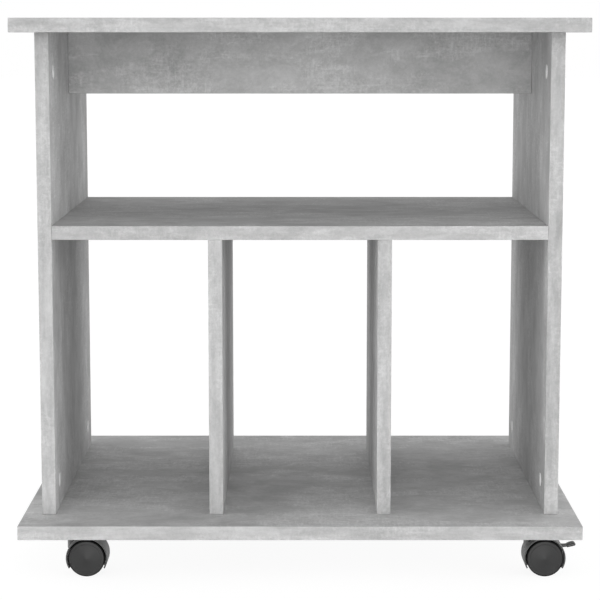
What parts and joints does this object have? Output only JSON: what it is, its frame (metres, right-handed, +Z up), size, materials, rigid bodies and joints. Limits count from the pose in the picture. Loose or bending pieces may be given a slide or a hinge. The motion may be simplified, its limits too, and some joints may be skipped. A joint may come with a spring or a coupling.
{
  "type": "mobile printer stand",
  "caption": "Open rolling cabinet of thin boards with an upper shelf bay, divided lower bays, a stiffening rail under the top and swivelling furniture casters with brake levers.",
  "frame": {"origin": "on the floor, under the middle of the stand", "axes": "+Z up, +X to the right seen from the front, +Y towards the back; the open front faces -Y"},
  "size_m": [0.6, 0.45, 0.6],
  "materials": {
    "concrete_decor": "melamine-faced chipboard in a matt grey concrete-look decor, with matching edge banding",
    "cam_cover": "light grey moulded plastic cam with a domed cover",
    "beech": "fluted beech dowel",
    "zinc": "bright zinc-plated steel",
    "caster_plastic": "black moulded nylon with a satin sheen",
    "caster_wheel": "charcoal moulded nylon"
  },
  "bodies": {
    "cabinet": {"top_panel": "concrete_decor", "base_panel": "concrete_decor", "middle_shelf": "concrete_decor", "cross_rail": "concrete_decor", "left_side_panel": "concrete_decor", "left_divider": "concrete_decor", "rail_dowel_left": "beech", "shelf_dowel_front_left": "beech", "divider_screw_front_left": "zinc", "cam_lock_front_left_top": "cam_cover", "cam_bolt_front_left_top": "zinc", "cam_lock_front_left_bottom": "cam_cover", "cam_bolt_front_left_bottom": "zinc", "front_left_caster_plate": "zinc", "front_left_caster_kingpin": "zinc", "shelf_dowel_rear_left": "beech", "divider_screw_rear_left": "zinc", "cam_lock_rear_left_top": "cam_cover", "cam_bolt_rear_left_top": "zinc", "cam_lock_rear_left_bottom": "cam_cover", "cam_bolt_rear_left_bottom": "zinc", "rear_left_caster_plate": "zinc", "rear_left_caster_kingpin": "zinc", "right_side_panel": "concrete_decor", "right_divider": "concrete_decor", "rail_dowel_right": "beech", "shelf_dowel_front_right": "beech", "divider_screw_front_right": "zinc", "cam_lock_front_right_top": "cam_cover", "cam_bolt_front_right_top": "zinc", "cam_lock_front_right_bottom": "cam_cover", "cam_bolt_front_right_bottom": "zinc", "front_right_caster_plate": "zinc", "front_right_caster_kingpin": "zinc", "shelf_dowel_rear_right": "beech", "divider_screw_rear_right": "zinc", "cam_lock_rear_right_top": "cam_cover", "cam_bolt_rear_right_top": "zinc", "cam_lock_rear_right_bottom": "cam_cover", "cam_bolt_rear_right_bottom": "zinc", "rear_right_caster_plate": "zinc", "rear_right_caster_kingpin": "zinc"},
    "front_left_swivel": {"front_left_caster_hood": "caster_plastic", "front_left_caster_axle": "zinc"},
    "front_left_front_wheel": {"front_left_caster_front_wheel": "caster_wheel"},
    "front_left_rear_wheel": {"front_left_caster_rear_wheel": "caster_wheel"},
    "rear_left_swivel": {"rear_left_caster_hood": "caster_plastic", "rear_left_caster_axle": "zinc"},
    "rear_left_front_wheel": {"rear_left_caster_front_wheel": "caster_wheel"},
    "rear_left_rear_wheel": {"rear_left_caster_rear_wheel": "caster_wheel"},
    "rear_left_brake": {"rear_left_caster_brake_lever": "caster_plastic"},
    "front_right_swivel": {"front_right_caster_hood": "caster_plastic", "front_right_caster_axle": "zinc"},
    "front_right_front_wheel": {"front_right_caster_front_wheel": "caster_wheel"},
    "front_right_rear_wheel": {"front_right_caster_rear_wheel": "caster_wheel"},
    "front_right_brake": {"front_right_caster_brake_lever": "caster_plastic"},
    "rear_right_swivel": {"rear_right_caster_hood": "caster_plastic", "rear_right_caster_axle": "zinc"},
    "rear_right_front_wheel": {"rear_right_caster_front_wheel": "caster_wheel"},
    "rear_right_rear_wheel": {"rear_right_caster_rear_wheel": "caster_wheel"}
  },
  "joints": [
    {"name": "front_left_swivel", "type": "hinge", "parent": "cabinet", "child": "front_left_swivel", "pos_m": [-0.248, -0.175, 0.04], "axis": [0, 0, 1], "continuous": true},
    {"name": "front_left_front_wheel", "type": "hinge", "parent": "front_left_swivel", "child": "front_left_front_wheel", "pos_m": [-0.231, -0.175, 0.01987], "axis": [0, 1, 0], "continuous": true},
    {"name": "front_left_rear_wheel", "type": "hinge", "parent": "front_left_swivel", "child": "front_left_rear_wheel", "pos_m": [-0.231, -0.175, 0.01987], "axis": [0, 1, 0], "continuous": true},
    {"name": "rear_left_swivel", "type": "hinge", "parent": "cabinet", "child": "rear_left_swivel", "pos_m": [-0.248, 0.175, 0.04], "axis": [0, 0, 1], "continuous": true},
    {"name": "rear_left_front_wheel", "type": "hinge", "parent": "rear_left_swivel", "child": "rear_left_front_wheel", "pos_m": [-0.231, 0.175, 0.01987], "axis": [0, 1, 0], "continuous": true},
    {"name": "rear_left_rear_wheel", "type": "hinge", "parent": "rear_left_swivel", "child": "rear_left_rear_wheel", "pos_m": [-0.231, 0.175, 0.01987], "axis": [0, 1, 0], "continuous": true},
    {"name": "rear_left_brake", "type": "hinge", "parent": "rear_left_swivel", "child": "rear_left_brake", "pos_m": [-0.219, 0.175, 0.03237], "axis": [0, 1, 0], "range_deg": [0, 18]},
    {"name": "front_right_swivel", "type": "hinge", "parent": "cabinet", "child": "front_right_swivel", "pos_m": [0.248, -0.175, 0.04], "axis": [0, 0, 1], "continuous": true},
    {"name": "front_right_front_wheel", "type": "hinge", "parent": "front_right_swivel", "child": "front_right_front_wheel", "pos_m": [0.265, -0.175, 0.01987], "axis": [0, 1, 0], "continuous": true},
    {"name": "front_right_rear_wheel", "type": "hinge", "parent": "front_right_swivel", "child": "front_right_rear_wheel", "pos_m": [0.265, -0.175, 0.01987], "axis": [0, 1, 0], "continuous": true},
    {"name": "front_right_brake", "type": "hinge", "parent": "front_right_swivel", "child": "front_right_brake", "pos_m": [0.277, -0.175, 0.03237], "axis": [0, 1, 0], "range_deg": [0, 18]},
    {"name": "rear_right_swivel", "type": "hinge", "parent": "cabinet", "child": "rear_right_swivel", "pos_m": [0.248, 0.175, 0.04], "axis": [0, 0, 1], "continuous": true},
    {"name": "rear_right_front_wheel", "type": "hinge", "parent": "rear_right_swivel", "child": "rear_right_front_wheel", "pos_m": [0.265, 0.175, 0.01987], "axis": [0, 1, 0], "continuous": true},
    {"name": "rear_right_rear_wheel", "type": "hinge", "parent": "rear_right_swivel", "child": "rear_right_rear_wheel", "pos_m": [0.265, 0.175, 0.01987], "axis": [0, 1, 0], "continuous": true}
  ]
}
